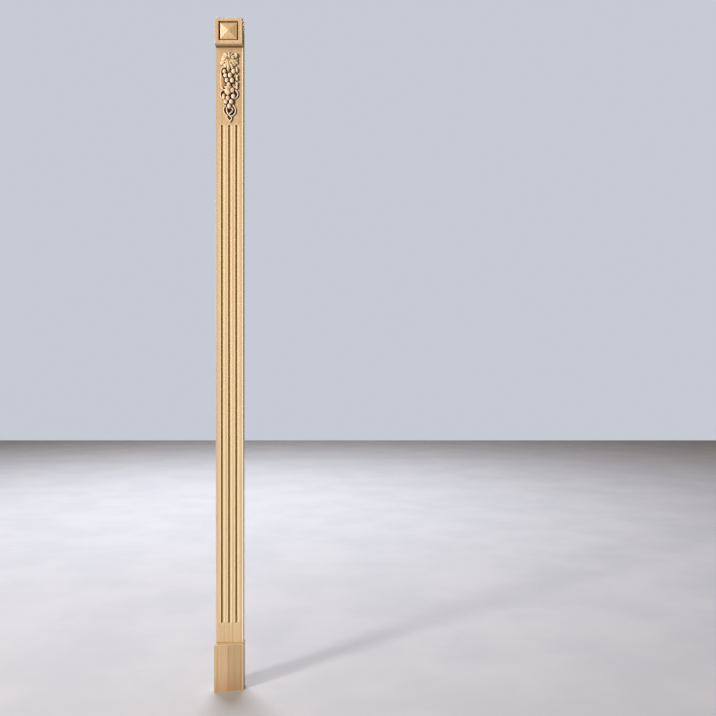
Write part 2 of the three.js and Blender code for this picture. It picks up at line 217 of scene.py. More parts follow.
@dataclass(frozen=True)
class LacqueredOak:
    """Oak, rift-sawn, planed and sanded under a satin clear lacquer.

    The eye gets fine straight stripes along the fibres, short dark pores, a slow drift between pinkish and
    straw tones, and a soft sheen. Pattern sizes are across and along the fibres, in millimetres, and the
    stripes and pores are coarser than real ones, so that they show. A painted highlight lies along one
    arris, which is given as its X, its Y and its strength, and fades between two distances from it. More
    painted highlights lie where the pale layer says, and painted shade where the dark layer says. The piece
    grows darker from one height to another, up to an amount.
    """

    name: str
    straw: str = "DCC49B"
    pink: str = "DDBF9B"
    late_wood: str = "C29E6E"
    pore: str = "8A6438"
    # Colour of painted highlights.
    painted_highlight: str = "FCE6B8"
    # Colour of the painted highlight along the arris.
    arris_highlight: str = "FFF5DC"
    # Colour of painted shade.
    darkened: str = "62420C"
    drift_size: Pair = (34.0, 900.0)
    stripe_size: Pair = (5.5, 700.0)
    fibre_size: Pair = (1.1, 110.0)
    pore_size: Pair = (0.5, 11.0)
    pore_edge: Pair = (0.62, 0.74)
    coat: float = 0.25
    # How strong the painted shade is, and the dark layer's values over which it grows.
    shade_strength: float = 0.8
    shade_depths: Pair = (0.3, 1.0)
    arris: tuple[float, float, float] | None = None
    arris_highlight_reach: Pair = (3.4, 5.2)
    height_darkening: tuple[float, float, float] = (0.0, 1.0, 0.0)

    def _arris_layer(self, tree: Tree, place: Socket) -> list[tuple[Follow, str]]:
        """Gives the layer of painted highlight along the arris.

        Args:
            tree: The node tree that takes the nodes.
            place: The surface's place, in metres.

        Returns:
            The layer, or nothing where the piece has no arris highlight.
        """
        if self.arris is None:
            return []
        x, y, strength = self.arris
        full, gone = self.arris_highlight_reach
        flat = add_node(tree, "ShaderNodeVectorMath", {0: place, 1: (1.0, 1.0, 0.0)}, operation="MULTIPLY")
        both = {0: flat.outputs[0], 1: (x * MM, y * MM, 0.0)}
        away = add_node(tree, "ShaderNodeVectorMath", both, operation="DISTANCE").outputs["Value"]
        return [(Follow(away, full * MM, gone * MM, strength, 0.0), self.arris_highlight)]

    def build(self) -> bpy.types.Material:
        """Makes the material.

        Returns:
            The material.
        """
        material, tree, place = new_material(self.name)
        drift = mottled(tree, place, *self.drift_size)
        stripe = mottled(tree, place, *self.stripe_size, 4)
        fibre = mottled(tree, place, *self.fibre_size, 3)
        pores = mottled(tree, place, *self.pore_size, 1)
        stored = [add_node(tree, "ShaderNodeAttribute", attribute_name=name) for name in LAYERS]
        dark_layer, pale_layer = (node.outputs["Fac"] for node in stored)
        height = add_node(tree, "ShaderNodeSeparateXYZ", {0: place}).outputs["Z"]
        start, end, darkest = self.height_darkening
        layers = [
            (Follow(drift, 0.38, 0.62), self.pink),
            (Follow(stripe, 0.47, 0.7, 0.0, 0.75), self.late_wood),
            (Follow(fibre, 0.35, 0.75, 0.0, 0.28), self.late_wood),
            (Follow(pores, *self.pore_edge, 0.0, 0.45), self.pore),
            # Darker between two heights: painted shade on the shaft's head under the capital, and a plain
            # darkening towards the plinth's foot.
            (Follow(height, start * MM, end * MM, 0.0, darkest), self.late_wood),
            # Painted highlight along one arris.
            *self._arris_layer(tree, place),
            # Painted highlight on the flute lips and on the plinth's top.
            (Follow(pale_layer, 0.0, 1.0, 0.0, 0.8), self.painted_highlight),
            # Painted shade: in the flutes, beside the carving, at the joints, in the recess and under the
            # capital.
            (Follow(dark_layer, *self.shade_depths, 0.0, self.shade_strength), self.darkened),
        ]
        pitted = {0: fibre, 1: Follow(pores, *self.pore_edge)}
        relief = add_node(tree, "ShaderNodeMath", pitted, operation="SUBTRACT").outputs[0]
        bump = add_node(tree, "ShaderNodeBump", {"Strength": 0.3, "Distance": 0.08 * MM, "Height": relief})
        finish_surface(
            tree,
            {
                "Base Color": layered(tree, self.straw, layers),
                "Roughness": Follow(fibre, 0.3, 0.7, 0.36, 0.5),
                "Specular IOR Level": Follow(dark_layer, 0.05, 0.5, 0.5, 0.0),
                "Coat Weight": Follow(dark_layer, 0.05, 0.4, self.coat, 0.0),
                "Coat Roughness": 0.22,
                "Normal": bump.outputs[0],
            },
        )
        return material


@dataclass(frozen=True)
class CarvedLime:
    """Limewood, carved with gouges, glazed dark in the deep parts and wiped back on the high parts.

    The eye gets a creamy, nearly grainless timber whose deep parts are dark brown, partly from the glaze and
    partly from painted shade, and whose high parts are palest, with small facets left by the gouge. Pattern
    sizes are across and along the fibres, in millimetres.
    """

    name: str = "lime, gouge-carved and toned"
    body: str = "E6C898"
    flush: str = "E2BC8D"
    streak: str = "C9A57A"
    # Colour of the glaze and the painted shade in the deep parts.
    darkened: str = "482E06"
    wiped: str = "FFFBF4"
    drift_size: Pair = (14.0, 60.0)
    fibre_size: Pair = (0.7, 22.0)
    gouge_size: Pair = (2.2, 3.4)

    def build(self) -> bpy.types.Material:
        """Makes the material.

        Returns:
            The material.
        """
        material, tree, place = new_material(self.name)
        drift = mottled(tree, place, *self.drift_size)
        fibre = mottled(tree, place, *self.fibre_size, 3)
        gouge = mottled(tree, place, *self.gouge_size, 1)
        stored = [add_node(tree, "ShaderNodeAttribute", attribute_name=name) for name in LAYERS]
        dark_layer, pale_layer = (node.outputs["Fac"] for node in stored)
        # The dark layer here is partly glaze and partly painted shade, in the deep parts and at the relief's
        # foot.
        patchy = {0: dark_layer, 1: Follow(drift, 0.3, 0.7, 0.8, 1.2)}
        dark_amount = add_node(tree, "ShaderNodeMath", patchy, operation="MULTIPLY").outputs[0]
        layers = [
            (Follow(drift, 0.35, 0.65), self.flush),
            (Follow(fibre, 0.5, 0.8, 0.0, 0.3), self.streak),
            (pale_layer, self.wiped),
            (Follow(dark_amount, 0.0, 0.6), self.darkened),
        ]
        facets = {0: fibre, 1: 0.2, 2: gouge}
        relief = add_node(tree, "ShaderNodeMath", facets, operation="MULTIPLY_ADD").outputs[0]
        bump = add_node(tree, "ShaderNodeBump", {"Strength": 0.35, "Distance": 0.35 * MM, "Height": relief})
        finish_surface(
            tree,
            {
                "Base Color": layered(tree, self.body, layers),
                "Roughness": Follow(dark_layer, 0.0, 0.6, 0.4, 0.8),
                "Specular IOR Level": Follow(dark_layer, 0.0, 0.4, 0.5, 0.0),
                "Coat Weight": Follow(dark_layer, 0.0, 0.3, 0.2, 0.0),
                "Coat Roughness": 0.25,
                "Normal": bump.outputs[0],
            },
        )
        return material


@dataclass(frozen=True)
class TrowelledPlaster:
    """Pale plaster screed, trowelled flat: matt, with a faint cloudiness and no shine."""

    name: str = "plaster, trowelled pale"
    light: str = "D9DBE0"
    cloud: str = "D2D5DB"
    cloud_size: float = 420.0

    def build(self) -> bpy.types.Material:
        """Makes the material.

        Returns:
            The material.
        """
        material, tree, place = new_material(self.name)
        cloudy = mottled(tree, place, self.cloud_size, self.cloud_size, 4)
        colour = layered(tree, self.light, [(Follow(cloudy, 0.35, 0.65), self.cloud)])
        finish_surface(tree, {"Base Color": colour, "Roughness": 0.85})
        return material


# Meshes


def lofted(
    name: str,
    rings: list[Loop],
    crease: float = 35.0,
    painted_shades: list[float] | None = None,
    painted_highlights: list[float] | None = None,
) -> bpy.types.Object:
    """Makes a closed solid through rings of points, which all have the same number of points.

    Args:
        name: The object's name.
        rings: The rings, in millimetres, each turning the same way.
        crease: The angle between faces, in degrees, from which an edge stays sharp.
        painted_shades: How much painted shade each point has, from 0 to 1, ring by ring.
        painted_highlights: How much painted highlight each point has, from 0 to 1, ring by ring.

    Returns:
        The object.
    """
    count = len(rings[0])
    points = [tuple(c * MM for c in point) for ring in rings for point in ring]
    faces = [
        (i * count + j, i * count + (j + 1) % count, (i + 1) * count + (j + 1) % count, (i + 1) * count + j)
        for i in range(len(rings) - 1)
        for j in range(count)
    ]
    last = (len(rings) - 1) * count
    faces.append(tuple(reversed(range(count))))
    faces.append(tuple(range(last, last + count)))
    mesh = bpy.data.meshes.new(name)
    mesh.from_pydata(points, [], faces)
    for layer, values in zip(LAYERS, (painted_shades, painted_highlights)):
        set_layer(mesh, layer, np.array(values or [0.0] * len(points)))
    return solid_object(name, mesh, crease)


def set_layer(mesh: bpy.types.Mesh, name: str, values: Field) -> None:
    """Stores a value on each point of a mesh, for its material to read.

    Args:
        mesh: The mesh.
        name: The layer's name.
        values: A value for each point.
    """
    layer = mesh.attributes.new(name, "FLOAT", "POINT")
    layer.data.foreach_set("value", values.astype(np.float32))


def solid_object(name: str, mesh: bpy.types.Mesh, crease: float) -> bpy.types.Object:
    """Turns a mesh's faces outwards, shades it smooth up to an angle, and puts it in the scene.

    Args:
        name: The object's name.
        mesh: The closed mesh.
        crease: The angle between faces, in degrees, from which an edge stays sharp.

    Returns:
        The object.
    """
    form = bmesh.new()
    form.from_mesh(mesh)
    bmesh.ops.recalc_face_normals(form, faces=form.faces)
    form.to_mesh(mesh)
    form.free()
    mesh.shade_smooth()
    mesh.set_sharp_from_angle(angle=math.radians(crease))
    made = bpy.data.objects.new(name, mesh)
    bpy.context.scene.collection.objects.link(made)
    return made


def corner_arc(
    centre: Point, radius: float, start: float, end: float, steps: int = 5, run_out: float = SUPPORT
) -> list[Point]:
    """Gives the points of a rounded corner, with one more on the flat at either end to keep the flats flat.

    Args:
        centre: The arc's centre.
        radius: Its radius.
        start: The angle it starts at, in degrees.
        end: The angle it ends at.
        steps: How many chords it has.
        run_out: How far from the arc the points on the flats lie.

    Returns:
        The points, in order.
    """
    angles = [math.radians(start + (end - start) * i / steps) for i in range(steps + 1)]
    arc = [(centre[0] + radius * math.cos(a), centre[1] + radius * math.sin(a)) for a in angles]
    first, last = angles[0], angles[-1]
    before = (arc[0][0] + run_out * math.sin(first), arc[0][1] - run_out * math.cos(first))
    after = (arc[-1][0] - run_out * math.sin(last), arc[-1][1] + run_out * math.cos(last))
    return [before, *arc, after]


def spaced(values: list[float], least: float = 0.1) -> list[float]:
    """Sorts places and leaves out those that lie too close to the one before.

    Args:
        values: The places.
        least: The least distance between two.

    Returns:
        The places, in order.
    """
    kept: list[float] = []
    for value in sorted(values):
        if not kept or value - kept[-1] > least:
            kept.append(value)
    return kept


def stand_for(
    made: bpy.types.Object, node: str, finish: bpy.types.Material
) -> bpy.types.Object:
    """Gives a piece its finish and its place in the model.

    Args:
        made: The piece.
        node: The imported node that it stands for.
        finish: Its material.

    Returns:
        The piece.
    """
    made.data.materials.append(finish)
    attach(made, BODY)
    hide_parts(node)
    return made


# The pilaster


@dataclass
class Boards:
    """Sizes that the boards share, in millimetres."""

    shaft_width: float = 100.0
    shaft_thickness: float = 30.0
    shaft_length: float = 2162.0
    projection: float = 28.0
    joint_gap: float = 0.3
    arris: float = 1.5

    @property
    def front(self) -> float:
        """How far in front of the back plane the two blocks' faces lie."""
        return self.shaft_thickness + self.projection

    @property
    def head(self) -> float:
        """Height of the shaft's head above the middle of the shaft."""
        return self.shaft_length / 2


@dataclass
class PlinthBlock:
    """The foot block, flat on the outer half of its front and slanting back on the inner half."""

    boards: Boards
    height: float = 166.0
    overhang: float = 2.0
    flat_width: float = 47.5
    splay: float = 12.0
    bend: float = 0.8
    bend_sink: float = 0.06
    ease: float = 0.8

    @property
    def inner_edge(self) -> Point:
        """X and Y of the upright arris where the slant ends."""
        return self.boards.shaft_width / 2 + self.overhang, -(self.boards.front - self.splay)

    def _section(self, inset: float) -> list[Point]:
        """Gives the block's outline seen from above, drawn in from its faces by an inset.

        Args:
            inset: How far in, in millimetres.

        Returns:
            X and Y of its corners, the back ones first.
        """
        half = self.boards.shaft_width / 2 + self.overhang - inset
        front = self.boards.front - inset
        radius, bend = self.boards.arris, self.bend
        crease = -half + self.flat_width - inset
        slope = math.degrees(math.atan2(self.splay, 2 * half - self.flat_width))
        inner = front - self.splay
        left = corner_arc((-half + radius, -front + radius), radius, 180, 270)
        fall = math.tan(math.radians(slope))
        middle = [(crease - d, -front) for d in (bend + SUPPORT, bend)]
        middle.append((crease, -front + self.bend_sink))
        middle += [(crease + d, -front + d * fall) for d in (bend, bend + SUPPORT)]
        right = corner_arc((half - radius, -inner + radius), radius, 270 + slope, 360)
        return [(half, 0.0), (-half, 0.0), *left, *middle, *right]

    def build(self, finish: bpy.types.Material) -> bpy.types.Object:
        """Makes the block.

        Args:
            finish: Its material.

        Returns:
            The piece.
        """
        top, ease = -self.boards.head - self.boards.joint_gap, self.ease
        levels = [(top - self.height, 0.0), (top - ease - SUPPORT, 0.0), (top - ease, 0.0)]
        levels += [(top - ease * (1 - math.sin(a)), ease * (1 - math.cos(a))) for a in EASED]
        levels.append((top, ease + SUPPORT))
        rings = [[(x, y, z) for x, y in self._section(inset)] for z, inset in levels]
        count = len(rings[0])
        # Painted highlight on the eased top edge and the top face.
        painted_highlights = [0.0] * (2 * count) + [1.0] * ((len(levels) - 2) * count)
        made = lofted("plinth_body", rings, painted_highlights=painted_highlights)
        return stand_for(made, "plinth_block", finish)


@dataclass
class FlutedShaft:
    """The tall board with round-bottomed flutes that stop short of both ends.

    Painted highlights and painted shade go from 0 to 1: how pale the face is painted on and beside the flute
    lips, and how dark the painted shade in the flutes is. The shade is shifted to each flute's left side,
    away from the light, and is also laid at the head stops.
    """

    boards: Boards
    flute_count: int = 3
    flute_radius: float = 5.0
    flute_pitch: float = 26.0
    foot_margin: float = 69.0
    head_margin: float = 280.0
    lip_drop: float = 0.3
    lip_reach: float = 0.9
    # Height over which the painted shade at each end fades.
    joint_shade: float = 1.2
    lip_width: float = 2.6
    lip_fade: float = 4.4
    # How much painted highlight the face keeps away from the lips, and how much beyond the head stops.
    face_highlight: float = 0.2
    stop_highlight: float = 0.45
    # How far the painted shade in the flutes shifts to the left, how dark it is, how it fades up the walls,
    # and its extra at the head stops.
    shade_shift: float = 2.2
    dark_amount: float = 0.93
    shade_fade: float = 2.5
    stop_shade: float = 0.7
    stop_fade: float = 0.3
    stop_shade_reach: float = 9.0
    flute_spacing: float = 0.3
    # Spacing of the mesh where the painted shadow lies.
    shadow_spacing: float = 1.5

    @property
    def inner_edge(self) -> Point:
        """X and Y of its inner upright arris."""
        return self.boards.shaft_width / 2, -self.boards.shaft_thickness

    def _place(self, i: int) -> float:
        """Gives the place across the face of a flute's middle line."""
        return (i - (self.flute_count - 1) / 2) * self.flute_pitch

    def _from_flute(self, x: float, z: float) -> Pair:
        """Gives how far a place on the face lies from the nearest flute's middle line.

        Args:
            x: Place across the face, in millimetres.
            z: Height, in millimetres.

        Returns:
            The distance, and how far the place lies past the line's end.
        """
        foot = -self.boards.head + self.foot_margin + self.flute_radius
        head = self.boards.head - self.head_margin - self.flute_radius
        past = max(foot - z, z - head, 0.0)
        nearest = min(abs(x - self._place(i)) for i in range(self.flute_count))
        return math.hypot(nearest, past), past

    def _depth(self, x: float, z: float) -> float:
        """Gives how far the face is cut back at a place.

        Args:
            x: Place across the face, in millimetres.
            z: Height, in millimetres.

        Returns:
            The depth, in millimetres.
        """
        away, _ = self._from_flute(x, z)
        edge = self.flute_radius - self.lip_drop
        if away < edge:
            return math.sqrt(self.flute_radius**2 - away**2)
        lip = max(0.0, 1 - (away - self.flute_radius + self.lip_drop) / self.lip_reach)
        return math.sqrt(self.flute_radius**2 - edge**2) * lip**2

    def _lip_highlight(self, x: float, z: float) -> float:
        """Gives how much painted highlight the face has at a place: most on and beside a flute's lip.

        Args:
            x: Place across the face, in millimetres.
            z: Height, in millimetres.

        Returns:
            The painted highlight, from 0 to 1.
        """
        away, past = self._from_flute(x, z)
        outside = away - self.flute_radius
        if outside < 0:
            return max(0.0, 1 + outside)
        strength = 1.0 if past == 0 else self.stop_highlight
        return strength * min(1.0, max(self.face_highlight, 1 - (outside - self.lip_width) / self.lip_fade))

    def _flute_shade(self, x: float, z: float) -> float:
        """Gives how dark the painted shade is at a place in a flute.

        Args:
            x: Place across the face, in millimetres.
            z: Height, in millimetres.

        Returns:
            The darkness, from 0 to 1.
        """
        stop = max(0.0, 1 - abs(self.boards.head - self.head_margin - z) / self.stop_shade_reach)
        sunk = (self._depth(x + self.shade_shift, z) / self.flute_radius) ** self.shade_fade
        return (self.dark_amount * sunk + self.stop_shade * stop * sunk**self.stop_fade) * (self._depth(x, z) > 0)

    def _face_stations(self) -> list[float]:
        """Gives the places across the face where the mesh has points, dense in and beside each flute.

        Returns:
            The places, from left to right.
        """
        half = self.boards.shaft_width / 2 - self.boards.arris
        stations = [-half, half]
        steps = math.ceil((self.flute_radius + self.lip_reach) / self.flute_spacing)
        for i in range(self.flute_count):
            stations += [self._place(i) + self.flute_spacing * k for k in range(-steps, steps + 1)]
            lip = self.flute_radius + self.lip_width
            for away in (lip, lip + self.lip_fade):
                stations += [self._place(i) - away, self._place(i) + away]
        beside = half - self.boards.arris
        stations += list(np.arange(-beside, beside, self.shadow_spacing))
        return spaced(stations)

    def _levels(self) -> list[float]:
        """Gives the heights where the mesh has points, dense round the ends of the flutes.

        Returns:
            The heights, from the foot up.
        """
        foot = -self.boards.head + self.foot_margin
        head = self.boards.head - self.head_margin
        spacing, beyond = self.flute_spacing, 1.2
        steps = math.ceil((self.flute_radius + 1.5 * beyond) / spacing)
        ends = [foot - beyond + spacing * k for k in range(steps)]
        ends += [head + beyond - spacing * k for k in range(steps)]
        for away in (self.lip_width, self.lip_width + self.lip_fade):
            ends += [foot - away, head + away]
        ends.append(head - self.stop_shade_reach)
        joints = [side * (self.boards.head - away) for side in (-1, 1) for away in (0.0, self.joint_shade)]
        top = self.boards.head - self.joint_shade
        beside = np.arange(head + 2 * self.shadow_spacing, top, self.shadow_spacing)
        return spaced([*joints, *ends, *beside])

    def build(self, finish: bpy.types.Material, painted_shadow: Callable[[Field, Field], Field]) -> bpy.types.Object:
        """Makes the shaft.

        Args:
            finish: Its material.
            painted_shadow: Gives how dark the painted shadow is at places across the face and heights, from 0
                to 1.

        Returns:
            The piece.
        """
        half, thick, radius = self.boards.shaft_width / 2, self.boards.shaft_thickness, self.boards.arris
        left = corner_arc((-half + radius, -thick + radius), radius, 180, 270)
        right = corner_arc((half - radius, -thick + radius), radius, 270, 360)
        stations, levels = self._face_stations()[1:-1], self._levels()
        rings, painted_shades, painted_highlights = [], [], []
        for z, stained in zip(levels, painted_shadow(*np.meshgrid(stations, levels))):
            face = [(x, -thick + self._depth(x, z)) for x in stations]
            rings.append([(x, y, z) for x, y in [(half, 0.0), (-half, 0.0), *left, *face, *right]])
            # Painted shade at the shaft's ends, where it meets the plinth and the capital.
            joint = 1.0 if abs(z) == self.boards.head else 0.0
            # The dark layer is painted shade: at the joints, in the flutes, and the carving's painted shadow.
            tones = [max(joint, self._flute_shade(x, z), dark) for x, dark in zip(stations, stained)]
            painted_shades += [0.0, 0.0] + [joint] * len(left) + tones + [joint] * len(right)
            # Painted highlight on and beside the flute lips.
            painted_highlights += [0.0] * (2 + len(left)) + [self._lip_highlight(x, z) for x in stations] + [0.0] * len(right)
        made = lofted("shaft_board", rings, 50, painted_shades, painted_highlights)
        return stand_for(made, "fluted_shaft", finish)


@dataclass
class CapitalBlock:
    """The head block, with a square recess sunk in its face and an underside that rises to the front."""

    boards: Boards
    face_height: float = 95.0
    undercut: float = 4.0
    brow: float = 0.2
    border: float = 14.5
    rail: float = 13.0
    recess_depth: float = 9.0
    recess_round: float = 0.3
    # Share of the recess's painted shade kept in its upper half, and the painted shade under the block and
    # how it fades to the front.
    head_shade_share: float = 0.5
    under_shade: float = 0.62
    under_fade: float = 0.3
    lip: float = 0.8
    ease: float = 0.8

    @property
    def foot(self) -> float:
        """Height of the block's underside at the shaft's face."""
        return self.boards.head + self.boards.joint_gap

    @property
    def recess_middle(self) -> float:
        """Height of the middle of the recess."""
        return self.foot + self.undercut + self.face_height / 2

    @property
    def recess_size(self) -> Pair:
        """Width and height of the recess."""
        return self.boards.shaft_width - 2 * self.border, self.face_height - 2 * self.rail

    def _sinking(self, half: float) -> list[Pair]:
        """Gives the recess's section from its middle out.

        Args:
            half: Half its width or height, in millimetres.

        Returns:
            Pairs of a distance from the middle and the depth there.
        """
        turns = (0.0, 0.35, 0.7, 1.1, math.pi / 2)
        curve = [(half + self.lip * (1 - math.cos(a)), self.lip * (1 - math.sin(a))) for a in turns]
        floor = [(0.0, self.recess_depth), (half - self.recess_round, self.recess_depth)]
        wall = (half, self.recess_depth - self.recess_round)
        return [*floor, wall, *curve, (half + self.lip + SUPPORT, 0.0)]

    def _recess_shade(self, up: float, depth: float) -> float:
        """Gives the recess's painted shade at a height from its middle and a depth: lighter in its upper
        half.
        """
        return depth / self.recess_depth * (self.head_shade_share if up > 0 else 1.0)

    def build(self, finish: bpy.types.Material) -> bpy.types.Object:
        """Makes the block.

        Args:
            finish: Its material.

        Returns:
            The piece.
        """
        half, front, radius = self.boards.shaft_width / 2, self.boards.front, self.boards.arris
        across, upright = (self._sinking(side / 2) for side in self.recess_size)
        low, top = self.foot + self.undercut, self.foot + self.undercut + self.face_height
        ends = [(half - self.ease * (1 - math.sin(a)), self.ease * (1 - math.cos(a))) for a in (0.0, *EASED)]
        ends.insert(0, (ends[0][0] - SUPPORT, 0.0))
        stations = [(d, depth, 0.0) for d, depth in across] + [(d, 0.0, inset) for d, inset in ends]
        mirrored = [(-d, depth, inset) for d, depth, inset in reversed(stations) if d > 0] + stations
        rings, painted_shades = [], []
        for x, sunk, inset in mirrored:
            face = [(d, min(depth, sunk)) for d, depth in upright]
            column = [(-d, depth) for d, depth in reversed(face) if d > 0] + face
            y_front = -front + inset
            foot_arc = [
                (y_front + radius, low + inset - self.brow),
                (y_front + radius / 3, low + radius / 3 + inset),
                (y_front, low + radius + inset),
                (y_front, low + radius + inset + SUPPORT),
            ]
            head_arc = [
                (y_front, top - radius - inset - SUPPORT),
                (y_front, top - radius - inset),
                (y_front + radius / 3, top - radius / 3 - inset),
                (y_front + radius, top - inset),
            ]
            outline = [(0.0, self.foot), (-self.boards.shaft_thickness + inset, self.foot + inset), *foot_arc]
            outline += [(y_front + depth, self.recess_middle + d) for d, depth in column]
            outline += [*head_arc, (0.0, top - inset)]
            # Painted shade on the underside, darkest where it meets the shaft.
            under = self.under_shade if inset == 0.0 else 0.0
            painted_shades += [0.0, under, self.under_fade * under] + [0.0] * (len(foot_arc) - 1)
            # Painted shade in the recess.
            painted_shades += [self._recess_shade(d, depth) for d, depth in column] + [0.0] * (1 + len(head_arc))
            rings.append([(x, y, z) for y, z in outline])
        made = lofted("capital_body", rings, 30, painted_shades)
        return stand_for(made, "capital_block", finish)


@dataclass
class PyramidBoss:
    """The four-sided point seated in the recess. Its tip is a little blunt."""

    capital: CapitalBlock
    margin: float = 5.0
    edge: float = 3.0
    ease: float = 0.6
    rise: float = 10.0
    ridge: float = 0.9
    blunt: float = 0.35

    @property
    def seat(self) -> float:
        """How far in front of the back plane its back lies."""
        return self.capital.boards.front - self.capital.recess_depth + self.capital.boards.joint_gap

    @property
    def left_edge(self) -> Point:
        """X and Y of the upright edge where its left slope starts."""
        return self.margin - self.capital.recess_size[0] / 2, -(self.seat + self.edge)

    def build(self, finish: bpy.types.Material) -> bpy.types.Object:
        """Makes the boss.

        Args:
            finish: Its material.

        Returns:
            The piece.
        """
        width, height = (side - 2 * self.margin for side in self.capital.recess_size)
        steps = [(1.0, 0.0), (1.0, self.edge - self.ease), (0.985, self.edge)]
        steps += [(share, self.edge + self.rise * (1 - share)) for share in (0.9, 0.5, 0.2, 0.06)]
        steps.append((0.015, self.edge + self.rise - self.blunt))
        rings = []
        for share, out in steps:
            half_x, half_z = share * width / 2, share * height / 2
            soft = min(self.ridge, 0.6 * min(half_x, half_z))
            ring = []
            for turn, (sx, sz) in enumerate([(1, 1), (-1, 1), (-1, -1), (1, -1)]):
                run_out = 0.3 * min(1.0, half_x - soft, half_z - soft)
                middle = (sx * (half_x - soft), sz * (half_z - soft))
                arc = corner_arc(middle, soft, 90 * turn, 90 * turn + 90, 3, run_out)
                ring += [(x, -(self.seat + out), self.capital.recess_middle + z) for x, z in arc]
            rings.append(ring)
        made = lofted("boss_point", rings)
        return stand_for(made, "pyramid_boss", finish)


@dataclass(frozen=True)
class Leaf:
    """A vine leaf laid round its stalk end, in shares of the carving's height and depth.

    A lobe is the way that its tip points, in degrees, its reach, how deep the notch after it is, and whether
    a chief vein runs along it. The teeth and the notches are parts of the reach. Twigs branch off the chief
    veins at a pitch, and the edge is ruffled.
    """

    centre: Point
    lobes: tuple[tuple[float, float, float, bool], ...]
    heel: float
    rim: float
    swell: float
    vein: float
    knob: float
    teeth: float = 0.035
    chief_width: float = 0.34
    side_width: float = 0.22
    twig_pitch: float = 1.9
    twig_width: float = 0.16
    twig_slant: float = 1.3
    twig_depth: float = 0.3
    ruffle: float = 0.25
    ruffles: int = 9


